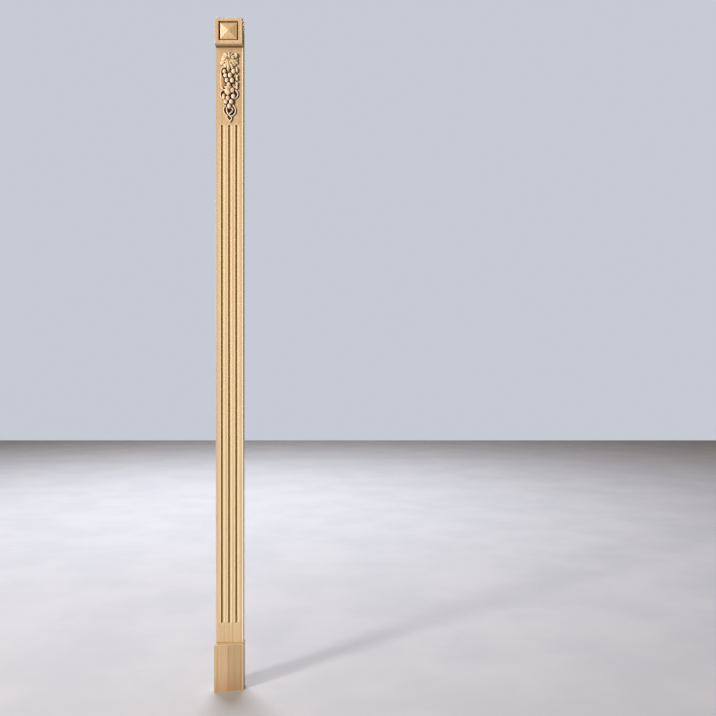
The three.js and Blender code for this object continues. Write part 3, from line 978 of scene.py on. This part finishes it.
@dataclass
class Blank:
    """The blank that the relief is cut from, as the places of its points.

    Each form is a height at every point. Places, widths and heights are in shares, to the right, upwards
    and outwards. Past its edge, a form falls away in a steep wall.
    """

    u: Field
    v: Field
    wall: float

    def _walled(self, inside: Field, outside: Field) -> Field:
        """Gives a form's height inside its edge, and a steep wall down from it outside.

        Args:
            inside: Height where the form is.
            outside: Distance past the form's edge, which is negative inside it.

        Returns:
            The height everywhere.
        """
        return inside - np.maximum(outside, 0.0) * self.wall

    def berry(self, at: Point, radius: float, stretch: float, lean: float, lift: float) -> Field:
        """Gives the height of a grape, a bud or the round end of a scroll.

        Args:
            at: Its middle.
            radius: Half its width.
            stretch: Its length over its width.
            lean: How far it leans to the left, in degrees.
            lift: Height of its middle.

        Returns:
            The height.
        """
        turn = math.radians(lean)
        du, dv = self.u - at[0], self.v - at[1]
        across = du * math.cos(turn) + dv * math.sin(turn)
        along = (dv * math.cos(turn) - du * math.sin(turn)) / stretch
        away = np.hypot(across, along)
        dome = np.sqrt(np.maximum(radius**2 - away**2, 0.0))
        return self._walled(lift + dome, away - radius)

    def ring_cut(self, at: Point, stretch: float, radius: float, width: float, sink: float) -> Field:
        """Gives how deep a ring-shaped gouge cut is.

        Args:
            at: The ring's middle.
            stretch: Its length over its width.
            radius: Half its width.
            width: Half the width of the cut.
            sink: The cut's depth.

        Returns:
            The depth.
        """
        away = np.hypot(self.u - at[0], (self.v - at[1]) / stretch)
        return sink * np.exp(-(((away - radius) / width) ** 2))

    def strand(self, points: list[Point], lift: float, thick: float, taper: float = 0.9) -> Field:
        """Gives the height of a tendril along a smooth curve through points.

        Args:
            points: The curve's points.
            lift: Height of its middle.
            thick: Its radius at the start.
            taper: Its radius at the end, as a part of that at the start.

        Returns:
            The height.
        """
        path = self._smooth_path(points)
        best = np.full(self.u.shape, OUTSIDE)
        for i, (pu, pv) in enumerate(path):
            radius = thick * (1 + (taper - 1) * i / (len(path) - 1))
            away = np.hypot(self.u - pu, self.v - pv)
            near = away < radius * 3
            dome = np.sqrt(np.maximum(radius**2 - away[near] ** 2, 0.0))
            best[near] = np.maximum(best[near], self._walled(lift + dome, away[near] - radius))
        return best

    @staticmethod
    def _smooth_path(points: list[Point], steps: int = 28) -> Field:
        """Gives close points of the smooth curve through a few.

        Args:
            points: The points that it passes through.
            steps: How many steps it takes between two of them.

        Returns:
            The close points.
        """
        given = np.array([points[0], *points, points[-1]], float)
        given[0] = 2 * given[1] - given[2]
        given[-1] = 2 * given[-2] - given[-3]
        made = []
        for i in range(1, len(given) - 2):
            before, start, end, after = given[i - 1 : i + 3]
            slope, bow = end - before, 2 * before - 5 * start + 4 * end - after
            twist = 3 * start - before - 3 * end + after
            for t in np.linspace(0, 1, steps, endpoint=False):
                made.append(0.5 * (2 * start + slope * t + bow * t**2 + twist * t**3))
        made.append(given[-2])
        return np.array(made)

    def _leaf_edge(self, leaf: Leaf, angle: Field) -> Field:
        """Gives how far a leaf reaches each way.

        Args:
            leaf: The leaf.
            angle: The way from its stalk end, in degrees.

        Returns:
            The reach.
        """
        first = leaf.lobes[0][0]
        turn = np.mod(angle - first, 360)
        edge = np.zeros(angle.shape)
        for i, (at, reach, notch, _) in enumerate(leaf.lobes):
            after = leaf.lobes[(i + 1) % len(leaf.lobes)]
            end = 360.0 if i == len(leaf.lobes) - 1 else after[0] - first
            part = (turn - (at - first)) / (end - (at - first))
            here = (part >= 0) & (part < 1)
            sweep = np.clip(part, 0, 1)
            lobed = (reach + (after[1] - reach) * sweep) * (1 - notch * np.sin(math.pi * sweep) ** 3)
            toothed = lobed * (1 - leaf.teeth * np.abs(np.sin(3 * math.pi * sweep)))
            edge = np.where(here, toothed, edge)
        return edge

    def leaf(self, leaf: Leaf) -> Field:
        """Gives the height of a vine leaf: puffed lobes with a sunk vein along the chief ones.

        Args:
            leaf: The leaf.

        Returns:
            The height.
        """
        du, dv = self.u - leaf.centre[0], self.v - leaf.centre[1]
        away = np.hypot(du, dv)
        angle = np.degrees(np.arctan2(dv, du))
        edge = self._leaf_edge(leaf, angle)
        ring = np.clip(away / np.maximum(edge, 1e-6), 0, 1.2)
        dome = leaf.heel + (leaf.rim - leaf.heel) * ring + leaf.swell * np.sin(math.pi * np.clip(ring, 0, 1))
        dome = dome + leaf.knob * np.exp(-(away**2))
        for at, reach, _, chief in leaf.lobes:
            off = np.radians(np.mod(angle - at + 180, 360) - 180)
            across, along = away * np.sin(off), away * np.cos(off)
            ahead = (along > 0) & (along < reach * 1.05)
            width = (leaf.chief_width if chief else leaf.side_width) * (1.15 - along / reach)
            groove = np.exp(-((across / np.maximum(width, 0.05)) ** 2)) * ahead
            dome = dome - groove * (leaf.vein if chief else 0.5 * leaf.vein) * np.clip(along / 1.2, 0, 1)
            if chief:
                slanted = np.mod(along - leaf.twig_slant * np.abs(across), leaf.twig_pitch)
                twig = np.exp(-(((slanted - leaf.twig_pitch / 2) / leaf.twig_width) ** 2))
                reached = ahead & (np.abs(across) < 0.42 * along) & (ring < 0.93)
                dome = dome - leaf.twig_depth * leaf.vein * twig * reached
        ruffled = leaf.ruffle * np.sin(np.radians(angle) * leaf.ruffles) * np.clip(ring - 0.6, 0, 1)
        return self._walled(dome + ruffled, away - edge)

    def bed(self, centre: Point, half: Pair, floor: float, rim: float, waves: int) -> Field:
        """Gives the height of the low dished leaf behind a bunch, with a rolled wavy rim.

        Args:
            centre: Its middle.
            half: Half its width and height.
            floor: Height of its floor.
            rim: Height of its rim.
            waves: How many waves its edge has.

        Returns:
            The height.
        """
        du, dv = self.u - centre[0], self.v - centre[1]
        turn = np.arctan2(dv, du)
        away = np.hypot(du, dv)
        corners = 4
        flats = np.abs(np.cos(turn) / half[0]) ** corners + np.abs(np.sin(turn) / half[1]) ** corners
        inward = flats ** (-1 / corners) * (1 + 0.03 * np.cos(waves * turn)) - away
        roll = np.exp(-(((inward - 0.75) / 0.6) ** 2)) * (1 + 0.25 * np.cos(waves * turn))
        return self._walled(floor + 0.5 * (rim - floor) * roll, -inward)

    def ground(self, outline: list[Point], height: float) -> Field:
        """Gives the height of the thin ground that closes the openings between strands.

        Args:
            outline: The middle lines of the strands round it.
            height: Its height.

        Returns:
            The height, which is far below the back outside the outline.
        """
        inside = np.zeros(self.u.shape, bool)
        for (u0, v0), (u1, v1) in zip(outline, [*outline[1:], outline[0]]):
            if v0 != v1:
                left = self.u < u0 + (self.v - v0) / (v1 - v0) * (u1 - u0)
                inside ^= ((v0 > self.v) != (v1 > self.v)) & left
        return np.where(inside, height, OUTSIDE)


@dataclass
class GrapeCarving:
    """The applied carving: leaves, bunches, buds and tendrils cut from one piece with a flat back.

    Its relief is a height over the shaft's face, worked out form by form on a fine mesh. Places and widths
    are in shares of its height, and rises in shares of its depth. Its height, drop, depth, strand and mesh
    spacing, tone_reach, tone_sink, foot_shade, foot_shade_fade, crest_rise, shadow_reach and shadow_drift are
    in millimetres; the painted shadow's strength is not. Its deep parts are darkened partly by glaze and
    partly by painted shade, the foot of its walls by painted shade, and the board to its right by a painted
    shadow.

    A row is its height and the places of its grapes. A bud is its place, radius, stretch and lean. A mark of
    the gouge is its place, size and depth. A bed is its middle, half its width and height, the heights of its
    floor and rim, and its waves. The curl and the rose are round ends: middle, radius, stretch, lean and
    lift. Their cuts are a middle, stretch, radius, width and depth.
    """

    boards: Boards
    height: float = 256.0
    drop: float = 148.0
    depth: float = 13.0
    half_width: float = 10.5
    half_height: float = 34.0
    strand: float = 2.2
    spacing: float = 0.42
    grape: float = 1.85
    grape_stretch: float = 1.2
    grape_lift: float = 2.2
    bunch_axis: float = -0.5
    bunch_round: float = 0.04
    bunch_growth: float = 0.02
    bud_lift: float = 1.3
    loop_lift: float = 1.1
    loop_axis: float = -0.3
    loop_row: float = -5.8
    loop_out: float = 3.2
    loop_half: Pair = (4.8, 4.4)
    loop_turn: float = 78.0
    ground: float = 0.4
    wall: float = 7.0
    # The deep parts are darkened partly by glaze and partly by painted shade, the foot of the walls by
    # painted shade.
    tone_reach: float = 3.2
    tone_sink: float = 1.4
    foot_shade: float = 3.2
    foot_shade_fade: float = 1.2
    crest_rise: float = 4.0
    # Strength, reach and shift to the right of the painted shadow that the carving throws on the shaft.
    painted_shadow: float = 0.85
    shadow_reach: float = 3.6
    shadow_drift: float = 4.5
    rows: tuple[tuple[float, tuple[float, ...]], ...] = (
        (15.0, (-4.5, 3.8)),
        (11.3, (-3.6, 0.7)),
        (6.8, (-2.3, 2.5)),
        (2.6, (-0.5,)),
        (-7.7, (3.6,)),
        (-9.4, (-1.3,)),
        (-12.7, (-3.2, 1.7)),
        (-16.6, (-0.1,)),
    )
    buds: tuple[tuple[float, float, float, float, float], ...] = (
        (6.8, 16.4, 1.1, 2.3, 10.0),
        (6.8, 10.5, 1.2, 1.25, -4.0),
        (6.8, 9.3, 0.8, 2.0, -4.0),
        (6.9, 7.9, 1.15, 1.2, -4.0),
        (6.8, 3.5, 1.25, 1.4, 0.0),
        (6.6, 0.5, 1.15, 1.5, 0.0),
        (-5.1, -7.6, 1.4, 1.7, 4.0),
    )
    gouged: tuple[tuple[float, float, float, float], ...] = (
        (-1.6, 30.2, 0.5, 1.2),
        (1.0, 29.8, 0.45, 1.2),
        (-4.1, 22.3, 0.5, 0.9),
        (1.9, 22.2, 0.6, 1.5),
        (4.9, 26.2, 0.7, 1.6),
        (6.2, 26.4, 0.6, 1.6),
        (-5.6, 17.4, 0.55, 0.9),
        (-6.4, 16.3, 0.55, 0.9),
        (-6.8, 15.0, 0.55, 0.9),
        (-6.6, 13.6, 0.55, 0.9),
        (-6.0, 12.4, 0.55, 0.9),
    )
    beds: tuple[tuple[Point, Pair, float, float, int], ...] = (
        ((-1.2, 9.0), (7.4, 11.0), 0.9, 1.4, 9),
        ((-0.7, -11.5), (4.8, 6.5), 1.1, 1.2, 7),
    )
    curl: tuple[Point, float, float, float, float] = ((6.0, 29.3), 1.6, 1.4, 0.0, 1.9)
    curl_cut: tuple[Point, float, float, float, float] = ((5.6, 29.2), 1.3, 0.8, 0.26, 0.7)
    rose: tuple[Point, float, float, float, float] = ((2.65, -2.1), 1.75, 1.25, 0.0, 2.0)
    rose_cut: tuple[Point, float, float, float, float] = ((2.65, -2.1), 1.25, 0.8, 0.25, 0.5)
    rose_trench: tuple[Point, float, float, float, float] = ((2.65, -2.1), 1.25, 2.0, 0.35, 1.3)
    trench_top: float = 0.5
    tails: tuple[tuple[Point, ...], ...] = (
        (
            *((-3.4, -15.6), (-5, -18.4), (-5.1, -21.4), (-3.7, -23.8)),
            *((-2.2, -25.1), (-2.1, -26.8), (-0.8, -28.9), (0.7, -30.8)),
        ),
        (
            *((-1.3, -16.5), (-2.4, -18.8), (-2.2, -21.4), (-0.8, -23.9)),
            *((0.8, -25.5), (2, -27.2), (1.5, -29), (0.2, -30.5)),
        ),
        ((3.2, -15.4), (5.1, -18.1), (5.5, -21), (4.8, -23.4), (3.1, -25), (1.2, -25.6)),
        ((-0.2, -23.9), (1.1, -22.6), (2.4, -21.2), (3, -19.5), (2, -18.1)),
    )
    tail_lifts: tuple[float, ...] = (1.0, 1.4, 1.0, 1.3)
    top_leaf: Leaf = Leaf(
        centre=(0.1, 27.7),
        lobes=(
            (18, 7.4, 0.6, True),
            (50, 5.2, 0.5, False),
            (97, 4.9, 0.45, False),
            (141, 6.6, 0.1, False),
            (184, 7.4, 0.12, True),
            (216, 10.8, 0.12, True),
            (243, 10, 0.16, False),
            (264, 13.2, 0.2, True),
            (286, 11.4, 0.16, False),
            (305, 9.4, 0.1, False),
            (323, 9.8, 0.08, True),
            (348, 7.7, 0.3, False),
        ),
        heel=2.1,
        rim=1.4,
        swell=1.6,
        vein=0.5,
        knob=1.3,
    )
    middle_leaf: Leaf = Leaf(
        centre=(0.3, -0.4),
        lobes=(
            (45, 2.4, 0.05, False),
            (105, 1.8, 0.2, False),
            (165, 5.4, 0.3, False),
            (199, 5.6, 0.08, False),
            (226, 6.1, 0.04, False),
            (255, 7, 0.08, True),
            (288, 4.4, 0.1, False),
            (328, 3.0, 0.1, False),
        ),
        heel=2.4,
        rim=1.9,
        swell=1.4,
        vein=0.4,
        knob=0.7,
    )

    @property
    def share(self) -> float:
        """One sixty-fourth of the carving's height, in millimetres."""
        return self.height / 64

    @property
    def rise(self) -> float:
        """One share of the carving's depth, in millimetres."""
        return self.depth / (self.grape_lift + self.grape)

    @property
    def middle(self) -> float:
        """Height of the carving's middle, in millimetres."""
        return self.boards.head - self.drop

    def _strands(self, blank: Blank) -> list[Field]:
        """Gives the heights of the side loops and the tail, and of the thin ground inside them.

        Args:
            blank: The blank.

        Returns:
            The height of each form.
        """
        out, (half_u, half_v) = self.loop_out, self.loop_half
        turns = np.radians(np.linspace(self.loop_turn, -self.loop_turn, 7))
        loops = [
            [
                (side * (out + half_u * math.cos(a)) + self.loop_axis, self.loop_row + half_v * math.sin(a))
                for a in turns
            ]
            for side in (1, -1)
        ]
        left, crossing, right = self.tails[:3]
        grounds = [[*loops[0], *reversed(loops[1])], [*left, *reversed([*right[:-1], *crossing[-3:-1]])]]
        lines = [(loop, self.loop_lift) for loop in loops] + list(zip(self.tails, self.tail_lifts))
        forms = [blank.ground(outline, self.ground) for outline in grounds]
        return forms + [blank.strand(list(line), lift, self.strand / self.share) for line, lift in lines]

    def _relief(self, u: Field, v: Field) -> Field:
        """Gives the carving's height over its back, which is below zero outside its outline.

        Args:
            u: Place to the right, in shares.
            v: Place upwards, in shares.

        Returns:
            The height, in millimetres.
        """
        blank = Blank(u, v, self.wall)
        forms = self._strands(blank) + [blank.bed(*bed) for bed in self.beds]
        for row, places in self.rows:
            for place in places:
                lift = self.grape_lift - self.bunch_round * (place - self.bunch_axis) ** 2
                radius = self.grape * (1 + self.bunch_growth * (place - self.bunch_axis))
                forms.append(blank.berry((place, row), radius, self.grape_stretch, 0.0, lift))
        for across, up, radius, stretch, lean in self.buds:
            forms.append(blank.berry((across, up), radius, stretch, lean, self.bud_lift))
        whole = np.maximum.reduce([*forms, blank.leaf(self.top_leaf), blank.leaf(self.middle_leaf)])
        cut = np.zeros(u.shape)
        for across, up, size, sink in self.gouged:
            cut += sink * np.exp(-(((u - across) / size) ** 2) - ((v - up) / size) ** 2)
        whole = np.maximum(whole - cut, np.minimum(whole, self.ground))
        whole = whole - blank.ring_cut(*self.rose_trench) * (v < self.trench_top)
        curl = blank.berry(*self.curl) - blank.ring_cut(*self.curl_cut)
        rose = blank.berry(*self.rose) - blank.ring_cut(*self.rose_cut)
        return np.maximum.reduce([whole, curl, rose]) * self.rise

    def _grid(self, half_width: float, spacing: float) -> tuple[Field, Field, Field]:
        """Gives the relief on a grid over the carving.

        Args:
            half_width: Half the grid's width, in shares.
            spacing: Distance between two of its lines, in millimetres.

        Returns:
            The places of its columns and of its rows, and the relief, all in millimetres.
        """
        sides = (half_width * self.share, self.half_height * self.share)
        across, up = (np.arange(-side, side, spacing) for side in sides)
        return across, up, self._relief(*np.meshgrid(across / self.share, up / self.share))

    @staticmethod
    def _blurred(relief: Field, reach: float) -> Field:
        """Evens out a relief over its surroundings.

        Args:
            relief: The heights.
            reach: How far to even out, in steps of the mesh.

        Returns:
            The evened heights.
        """
        steps = np.arange(-int(3 * reach), int(3 * reach) + 1)
        weights = np.exp(-((steps / reach) ** 2) / 2)
        weights = weights / weights.sum()
        for axis in (0, 1):
            relief = np.apply_along_axis(lambda line: np.convolve(line, weights, mode="same"), axis, relief)
        return relief

    @staticmethod
    def _nearest(places: Field, lines: Field, spacing: float) -> Field:
        """Gives which of a grid's evenly spaced lines is nearest to each place."""
        return np.rint((places - lines[0]) / spacing).astype(int)

    def stained(self, x: Field, z: Field) -> Field:
        """Gives how dark the painted shadow is that lies on the board beside the carving.

        It is thickest on the right, away from the light.

        Args:
            x: Place across the board, in millimetres.
            z: Height, in millimetres.

        Returns:
            The darkness, from 0 to 1.
        """
        step, margin = 1.0, 0.5
        across, up, relief = self._grid(self.half_width + margin, step)
        dark = self._blurred((relief > 0).astype(float), self.shadow_reach / step)
        column = self._nearest(x - self.shadow_drift, across, step)
        row = self._nearest(z - self.middle, up, step)
        inside = (column >= 0) & (column < len(across)) & (row >= 0) & (row < len(up))
        near = dark[row.clip(0, len(up) - 1), column.clip(0, len(across) - 1)]
        return np.where(inside, self.painted_shadow * near, 0.0)

    @staticmethod
    def _cut_out(relief: Field, across: Field, up: Field) -> bpy.types.Mesh:
        """Makes the closed mesh of everything above the carving's back.

        Args:
            relief: Height at each point of the mesh, in millimetres.
            across: Place to the right of each column, in millimetres.
            up: Place upwards of each row, in millimetres.

        Returns:
            The mesh, with X to the right, Y upwards and Z outwards.
        """
        columns, lowest = relief.shape[1], -6.0
        grid_x, grid_y = np.meshgrid(across, up)
        points = np.stack([grid_x, grid_y, np.maximum(relief, lowest)], axis=-1).reshape(-1, 3)
        above = relief > 0
        touched = above[:-1, :-1] | above[1:, :-1] | above[:-1, 1:] | above[1:, 1:]
        low_rows, low_columns = np.nonzero(touched)
        corner = low_rows * columns + low_columns
        quads = np.stack([corner, corner + 1, corner + columns + 1, corner + columns], axis=-1)
        mesh = bpy.data.meshes.new("vine_carving")
        mesh.from_pydata(points.tolist(), [], quads.tolist())
        form = bmesh.new()
        form.from_mesh(mesh)
        bmesh.ops.delete(form, geom=[p for p in form.verts if not p.link_faces], context="VERTS")
        whole = form.verts[:] + form.edges[:] + form.faces[:]
        bmesh.ops.bisect_plane(form, geom=whole, plane_co=(0, 0, 0), plane_no=(0, 0, 1), clear_inner=True)
        rim = [edge for edge in form.edges if edge.is_boundary]
        bmesh.ops.triangle_fill(form, edges=rim, use_beauty=True, normal=(0, 0, -1))
        form.to_mesh(mesh)
        form.free()
        return mesh

    def build(self, finish: bpy.types.Material) -> bpy.types.Object:
        """Makes the carving.

        Args:
            finish: Its material.

        Returns:
            The piece.
        """
        across, up, relief = self._grid(self.half_width, self.spacing)
        mesh = self._cut_out(relief, across, up)
        evened = self._blurred(np.maximum(relief, 0.0), self.tone_reach / self.spacing)
        flat = np.zeros(len(mesh.vertices) * 3, np.float32)
        mesh.vertices.foreach_get("co", flat)
        x, z, out = flat.reshape(-1, 3).T
        column = self._nearest(x, across, self.spacing).clip(0, len(across) - 1)
        row = self._nearest(z, up, self.spacing).clip(0, len(up) - 1)
        around = evened[row, column]
        # Dark in the deep parts: partly glaze, partly painted shade.
        sunk = np.clip((around - out) / self.tone_sink, 0, 1)
        # Painted shade at the foot of the walls and on the thin ground inside the loops.
        foot = np.clip((self.foot_shade - out) / self.foot_shade_fade, 0, 1)
        pale_layer = np.clip((out - around) / self.crest_rise, 0, 1)
        for layer, values in zip(LAYERS, (np.maximum(sunk, foot), pale_layer)):
            set_layer(mesh, layer, values)
        back = -(self.boards.shaft_thickness + self.boards.joint_gap)
        placed = np.stack([x, back - out, self.middle + z], axis=-1) * MM
        mesh.vertices.foreach_set("co", placed.astype(np.float32).ravel())
        mesh.update()
        made = solid_object("vine_carving", mesh, 80)
        return stand_for(made, "grape_carving", finish)


# The studio


@dataclass(frozen=True)
class Softbox:
    """A square soft light. Lengths are in metres and the power is in watts."""

    name: str
    at: Place
    target: Place
    side: float
    power: float
    tint: str

    def hang(self) -> None:
        """Hangs the light where it faces its target."""
        lamp = bpy.data.lights.new(self.name, "AREA")
        lamp.shape = "SQUARE"
        lamp.size = self.side
        lamp.energy = self.power
        lamp.color = linear(self.tint)[:3]
        made = bpy.data.objects.new(self.name, lamp)
        made.location = self.at
        made.rotation_euler = (Vector(self.target) - Vector(self.at)).to_track_quat("-Z", "Y").to_euler()
        bpy.context.scene.collection.objects.link(made)


@dataclass
class Studio:
    """A plain pale floor, soft light from the left, and the camera. Lengths are in metres."""

    floor_level: float
    floor_half: float = 9.0
    floor_thickness: float = 0.05
    seen_colour: str = "C6CBD5"
    shed_colour: str = "E8BE8C"
    shed_strength: float = 0.115
    eye_height: float = 1.2
    eye_right: float = 0.4668
    eye_distance: float = 3.03
    lens: float = 41.5
    lights: tuple[Softbox, ...] = (
        Softbox("key light", (-6.8, -6.6, 1.0), (0, 0, 0), 1.5, 700, "FFFAF4"),
        Softbox("high light", (-6.6, -6.5, 4.8), (0, 0, 0), 1.5, 140, "FFFAF4"),
        Softbox("ceiling light", (-1.5, -3.5, 3.6), (0, 0, 0), 2.4, 50, "FFE6C4"),
        Softbox("back light", (-1.0, 4.5, 4.5), (0, 1.5, -1.2), 4.0, 460, "F4F6FF"),
    )

    def lay_floor(self, finish: bpy.types.Material) -> bpy.types.Object:
        """Lays the floor.

        Args:
            finish: Its material.

        Returns:
            The floor.
        """
        turns = ((-1, -1), (1, -1), (1, 1), (-1, 1))
        corners = [(sx * self.floor_half, sy * self.floor_half) for sx, sy in turns]
        levels = (self.floor_level, self.floor_level - self.floor_thickness)
        points = [(x, y, level) for level in levels for x, y in corners]
        faces = [(0, 1, 2, 3), (7, 6, 5, 4), (0, 4, 5, 1), (1, 5, 6, 2), (2, 6, 7, 3), (3, 7, 4, 0)]
        mesh = bpy.data.meshes.new("floor")
        mesh.from_pydata(points, [], faces)
        mesh.materials.append(finish)
        made = bpy.data.objects.new("floor", mesh)
        bpy.context.scene.collection.objects.link(made)
        return made

    def light_up(self) -> None:
        """Hangs the lights and sets the pale surroundings, which look paler than the light they shed."""
        for light in self.lights:
            light.hang()
        world = bpy.data.worlds.new("pale surroundings")
        world.use_nodes = True
        tree = world.node_tree
        tree.nodes.clear()
        seen, shed = (
            add_node(tree, "ShaderNodeBackground", {"Color": linear(colour), "Strength": strength}).outputs[0]
            for colour, strength in ((self.seen_colour, 1.0), (self.shed_colour, self.shed_strength))
        )
        from_camera = add_node(tree, "ShaderNodeLightPath").outputs["Is Camera Ray"]
        both = add_node(tree, "ShaderNodeMixShader", {0: from_camera, 1: shed, 2: seen})
        add_node(tree, "ShaderNodeOutputWorld", {"Surface": both.outputs[0]})
        bpy.context.scene.world = world
        bpy.context.scene.view_settings.view_transform = "Standard"

    def place_camera(self) -> bpy.types.Object:
        """Places the camera, level and square to the pilaster's face, off to its right.

        Returns:
            The camera.
        """
        camera = bpy.data.cameras.new("camera")
        camera.lens = self.lens
        made = bpy.data.objects.new("camera", camera)
        made.location = (self.eye_right, -self.eye_distance, self.floor_level + self.eye_height)
        made.rotation_euler = (math.pi / 2, 0.0, 0.0)
        bpy.context.scene.collection.objects.link(made)
        bpy.context.scene.camera = made
        return made


def main() -> None:
    """Builds the pilaster and the studio, piece by piece."""
    logging.basicConfig(level=logging.INFO, format="%(message)s")
    boards = Boards()
    plinth, shaft, capital = PlinthBlock(boards), FlutedShaft(boards), CapitalBlock(boards)
    boss, carving = PyramidBoss(capital), GrapeCarving(boards)
    plinth_oak = LacqueredOak(
        "oak, planed and lacquered, plinth",
        straw="D3BB91",
        pink="D5B693",
        late_wood="B98F62",
        # A painted highlight along the inner arris.
        arris=(*plinth.inner_edge, 0.5),
        # Darker towards the foot.
        height_darkening=(-1150, -1250, 0.5),
    )
    shaft_oak = LacqueredOak(
        # A painted highlight along the inner arris, and painted shade on the shaft's head under the capital.
        "oak, planed and lacquered, shaft", shade_strength=0.9, arris=(*shaft.inner_edge, 1.0), height_darkening=(600, 1080, 0.5)
    )
    capital_oak = LacqueredOak(
        # The dark colour is for the painted shade in the recess and under the block.
        "oak, planed and lacquered, capital", darkened="482A05", shade_strength=0.95, shade_depths=(0.05, 0.75)
    )
    boss_oak = LacqueredOak(
        "oak, planed and lacquered, boss",
        straw="E2C592",
        pink="E0BE94",
        coat=0.32,
        # A painted highlight along the point's left edge.
        arris=(*boss.left_edge, 0.8),
    )
    pieces = [
        plinth.build(plinth_oak.build()),
        # The carving's painted shadow is laid on the shaft.
        shaft.build(shaft_oak.build(), carving.stained),
        capital.build(capital_oak.build()),
        boss.build(boss_oak.build()),
        carving.build(CarvedLime().build()),
    ]
    for piece in pieces:
        LOG.info("%s: %d faces", piece.name, len(piece.data.polygons))
    studio = Studio(floor_level=PACKED_BOX[0].z)
    studio.lay_floor(TrowelledPlaster().build())
    studio.light_up()
    studio.place_camera()
    bpy.context.view_layer.update()


if __name__ == "__main__":
    main()
